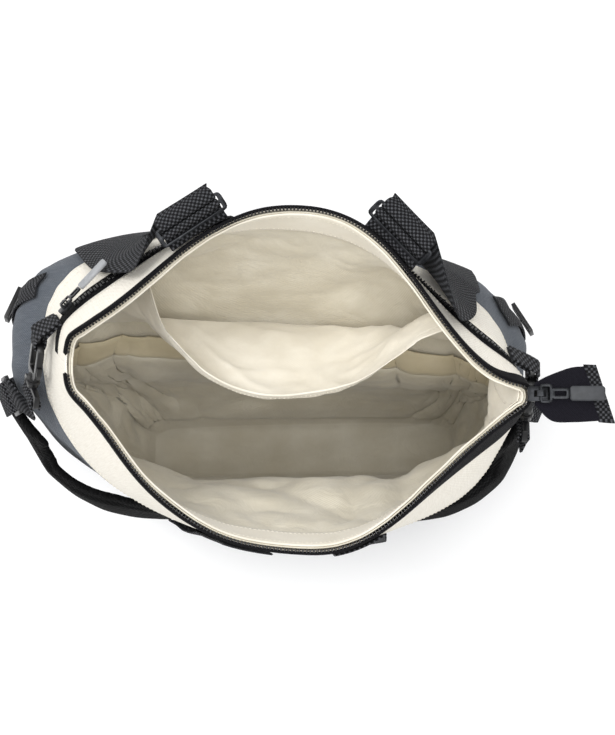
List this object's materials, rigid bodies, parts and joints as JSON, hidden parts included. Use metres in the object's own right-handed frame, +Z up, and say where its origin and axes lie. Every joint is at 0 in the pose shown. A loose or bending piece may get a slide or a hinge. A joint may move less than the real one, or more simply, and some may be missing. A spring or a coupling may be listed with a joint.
{
  "type": "backpack tote",
  "caption": "Soft tote with a wide zip mouth held open, drop pocket and slip pocket in the lining, webbing handles and clipped padded shoulder straps",
  "frame": {"origin": "middle of the outer box, on the floor under the base", "axes": "Z up, +Y towards the front with the zip pocket, +X towards the closed end of the main zip"},
  "size_m": [0.4838, 0.2814, 0.3813],
  "materials": {
    "slate_canvas": "plain-woven canvas",
    "cream_canvas": "plain-woven canvas",
    "lining_cloth": "light plain lining cloth",
    "facing_cloth": "light plain lining cloth",
    "webbing": "coarse woven webbing",
    "zip_tape": "twill zip tape",
    "zip_teeth": "moulded teeth",
    "mesh_padding": "fine ribbed mesh over foam",
    "black_plastic": "moulded plastic",
    "dark_metal": "dark plated metal",
    "grey_rubber": "soft moulded rubber",
    "light_grey_rubber": "soft moulded rubber"
  },
  "bodies": {
    "root": {"lower_body": "slate_canvas", "front_lower_strip": "cream_canvas", "front_top_strip": "cream_canvas", "back_upper_panel": "cream_canvas", "lining": "lining_cloth", "slip_pocket": "lining_cloth", "slip_pocket_hem": "facing_cloth", "front_facing": "facing_cloth", "back_facing": "facing_cloth", "drop_pocket": "facing_cloth", "drop_pocket_hem": "facing_cloth", "pocket_zip_tape": "zip_tape", "main_zip_front_tape": "zip_tape", "main_zip_back_tape": "zip_tape", "main_zip_tail": "zip_tape", "pocket_zip_chain": "zip_teeth", "main_zip_front_chain": "zip_teeth", "main_zip_back_chain": "zip_teeth", "main_zip_tail_tab": "webbing", "front_handle_leg_left": "webbing", "front_handle_leg_right": "webbing", "front_handle_loop": "webbing", "back_handle": "webbing", "handle_bar_left": "dark_metal", "handle_bar_right": "dark_metal", "main_zip_slider": "dark_metal", "pocket_zip_slider": "dark_metal", "padded_strap_left": "mesh_padding", "ladder_lock_left": "black_plastic", "swivel_hook_left": "black_plastic", "strap_tongue_left": "webbing", "strap_webbing_left": "webbing", "side_loop_left": "webbing", "outer_tab_left": "webbing", "outer_tab_end_left": "black_plastic", "padded_strap_right": "mesh_padding", "ladder_lock_right": "black_plastic", "swivel_hook_right": "black_plastic", "strap_tongue_right": "webbing", "strap_webbing_right": "webbing", "side_loop_right": "webbing", "outer_tab_right": "webbing", "outer_tab_end_right": "black_plastic"},
    "main_pull": {"main_zip_pull_link": "dark_metal", "main_zip_pull_tab": "grey_rubber"},
    "pocket_pull": {"pocket_zip_pull_link": "dark_metal", "pocket_zip_pull_tab": "light_grey_rubber"}
  },
  "joints": [
    {"name": "main_pull_hinge", "type": "hinge", "parent": "root", "child": "main_pull", "pos_m": [0.18769, -0.01886, 0.3782], "axis": [0, -1, 0], "range_deg": [0, 170]},
    {"name": "pocket_pull_hinge", "type": "hinge", "parent": "root", "child": "pocket_pull", "pos_m": [-0.16929, 0.05369, 0.33687], "axis": [0.3846, -0.3839, 0.8394], "range_deg": [0, 150]}
  ]
}
